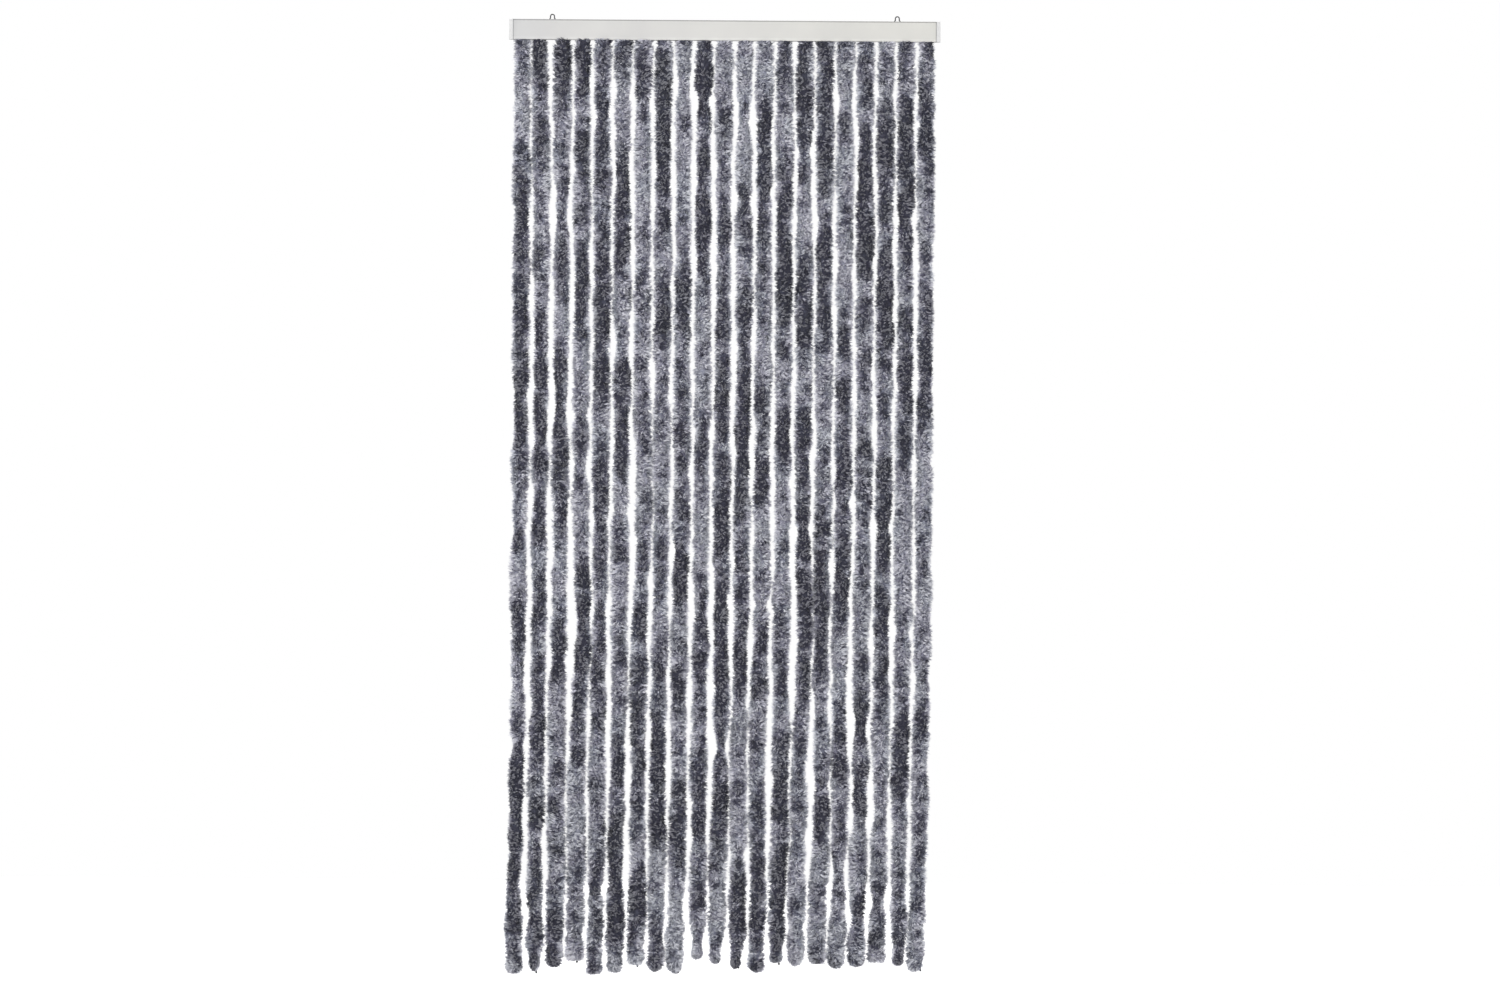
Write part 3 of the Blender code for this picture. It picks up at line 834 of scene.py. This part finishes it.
def make_strand(number, material):
    """One strand of pile round its cord, built in place of the pile's solid, which it hides."""
    strand = plan_strand(number)
    layers = [backing(strand), tufts(strand, UNDERCOAT), tufts(strand, TOPCOAT)]
    starts = np.cumsum([0] + [len(points) for points, _, _ in layers])
    piece = mesh_of(
        f"chenille_strand_{number:02d}",
        np.concatenate([points for points, _, _ in layers]),
        np.concatenate([triangles + start for (_, triangles, _), start in zip(layers, starts)]),
        np.concatenate([places for _, _, places in layers]),
        material,
    )
    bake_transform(piece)
    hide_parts(f"pile_{number:02d}")


# The rail, caps, eyes, strip and cords keep their solids and get their finishes


def finish_solid(node, material):
    """Gives a solid its finish."""
    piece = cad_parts[node]
    piece.data.materials.clear()
    piece.data.materials.append(material)


def dress_header():
    """Finishes the rail with its caps, eyes and strip, and the cords that hang from it."""
    finish_solid("header_rail", rail_coating())
    plastic, wire = cap_plastic(), eye_wire()
    for side in ("left", "right"):
        finish_solid(f"end_cap_{side}", plastic)
        finish_solid(f"hanging_eye_{side}", wire)
    finish_solid("carrier_strip", strip_plastic())
    cord = cord_fibre()
    for number in range(1, STRAND_COUNT + 1):
        finish_solid(f"core_cord_{number:02d}", cord)


# The camera, floor and light


def make_camera():
    """The photograph's view, from the front."""
    bpy.ops.object.camera_add(location=CAMERA_PLACE)
    camera = bpy.context.object
    camera.name = "photo_view"
    camera.rotation_euler = (math.pi / 2, CAMERA_ROLL, 0)
    camera.data.sensor_width = SENSOR_WIDTH
    camera.data.lens = SENSOR_WIDTH * -CAMERA_PLACE[1] / VIEW_WIDTH
    camera.data.clip_end = VIEW_REACH
    bpy.context.scene.camera = camera


def make_floor():
    """A pale floor that glows for the camera, more so further out, and keeps the object's shadow."""
    bpy.ops.mesh.primitive_plane_add(size=FLOOR_SIZE, location=(0, 0, FLOOR_LEVEL))
    floor = bpy.context.object
    floor.name = "pale_floor"
    finish = new_finish("pale_floor", roughness=0.9)
    place = place_on(finish)
    colour_of(finish, between(finish, noise(finish, place, scale=1.5), (233, 233, 233), (237, 237, 237)))
    away = finish.nodes.new("ShaderNodeVectorMath")
    away.operation = "LENGTH"
    feed(finish, away.inputs[0], place)
    brighter = mapped(finish, away.outputs["Value"], GLOW_SPAN, GLOW_LEVELS)
    seen = finish.nodes.new("ShaderNodeLightPath").outputs["Is Camera Ray"]
    glow = finish.nodes.new("ShaderNodeEmission")
    feed(finish, glow.inputs["Strength"], maths(finish, "MULTIPLY", seen, brighter))
    both = finish.nodes.new("ShaderNodeAddShader")
    feed(finish, both.inputs[0], finish.shader.outputs[0])
    feed(finish, both.inputs[1], glow.outputs[0])
    feed(finish, finish.nodes["Material Output"].inputs["Surface"], both.outputs[0])
    floor.data.materials.append(finish.material)


def make_world():
    """White all round where the camera or a reflection sees it, and a plain level of light elsewhere."""
    world = bpy.data.worlds.new("plain_light")
    world.use_nodes = True
    bpy.context.scene.world = world
    sky = SimpleNamespace(nodes=world.node_tree.nodes, links=world.node_tree.links)
    background = sky.nodes["Background"]
    background.inputs["Color"].default_value = srgb(*WHITE)
    ray = sky.nodes.new("ShaderNodeLightPath").outputs
    seen = ray["Is Camera Ray"]
    for other in ("Is Glossy Ray", "Is Transmission Ray"):
        seen = maths(sky, "ADD", seen, ray[other], clamp=True)
    strength = maths(sky, "MULTIPLY_ADD", seen, 1 - WORLD_LEVEL, WORLD_LEVEL)
    feed(sky, background.inputs["Strength"], strength)


def add_lamp(name, place, size, power):
    """A square lamp that faces the curtain's middle."""
    bpy.ops.object.light_add(type="AREA", location=place)
    lamp = bpy.context.object
    lamp.name = name
    lamp.data.size = size
    lamp.data.energy = power
    x, y, z = np.array(LAMP_TARGET) - np.array(place)
    lamp.rotation_euler = (math.atan2(math.hypot(x, y), -z), 0, math.atan2(y, x) - math.pi / 2)


make_camera()
bpy.ops.object.select_all(action="DESELECT")
pile_finish = chenille_fibre()
for strand_number in range(1, STRAND_COUNT + 1):
    make_strand(strand_number, pile_finish)
dress_header()
make_floor()
make_world()
for lamp_row in LAMPS:
    add_lamp(*lamp_row)

bpy.context.scene.view_settings.view_transform = "Standard"
